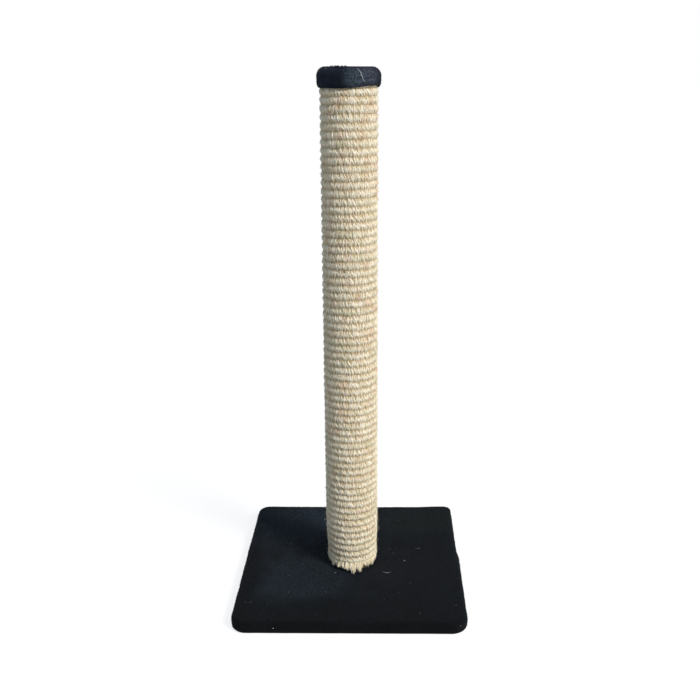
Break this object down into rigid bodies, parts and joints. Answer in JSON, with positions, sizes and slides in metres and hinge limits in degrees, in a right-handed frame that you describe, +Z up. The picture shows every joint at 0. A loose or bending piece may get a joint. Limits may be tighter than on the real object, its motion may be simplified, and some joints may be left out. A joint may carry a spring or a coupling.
{
  "type": "cat scratching post",
  "caption": "Tall cat scratching post: a round post in ribbed woven sisal with a frayed foot, a black plush cap and a square plush-covered base.",
  "frame": {"origin": "centre of the base's underside, on the floor", "axes": "+Z up along the post, -Y towards the front edge of the base, +Y towards the sisal's seam"},
  "size_m": [0.4, 0.4, 0.9088],
  "materials": {
    "fibreboard": "raw MDF, sawn and eased edges",
    "base_plush": "short-pile black plush, brushed",
    "cap_plush": "short-pile black plush, brushed",
    "sisal_cloth": "ribbed woven sisal, natural",
    "cardboard": "spiral-wound tube, raw",
    "plug_wood": "sawn softwood",
    "zinc_steel": "bright zinc plate",
    "staple_steel": "galvanised wire"
  },
  "bodies": {
    "root": {"base_board": "fibreboard", "base_cover": "base_plush", "base_cover_staples": "staple_steel", "post_bolt": "zinc_steel", "bolt_washer": "zinc_steel", "tee_nut": "zinc_steel", "post_tube": "cardboard", "bottom_plug": "plug_wood", "bottom_plug_nails": "staple_steel", "top_plug": "plug_wood", "top_plug_nails": "staple_steel", "sisal_sleeve": "sisal_cloth", "sleeve_seam_staples": "staple_steel", "cap_cover": "cap_plush", "cap_cover_staples": "staple_steel"}
  },
  "joints": []
}
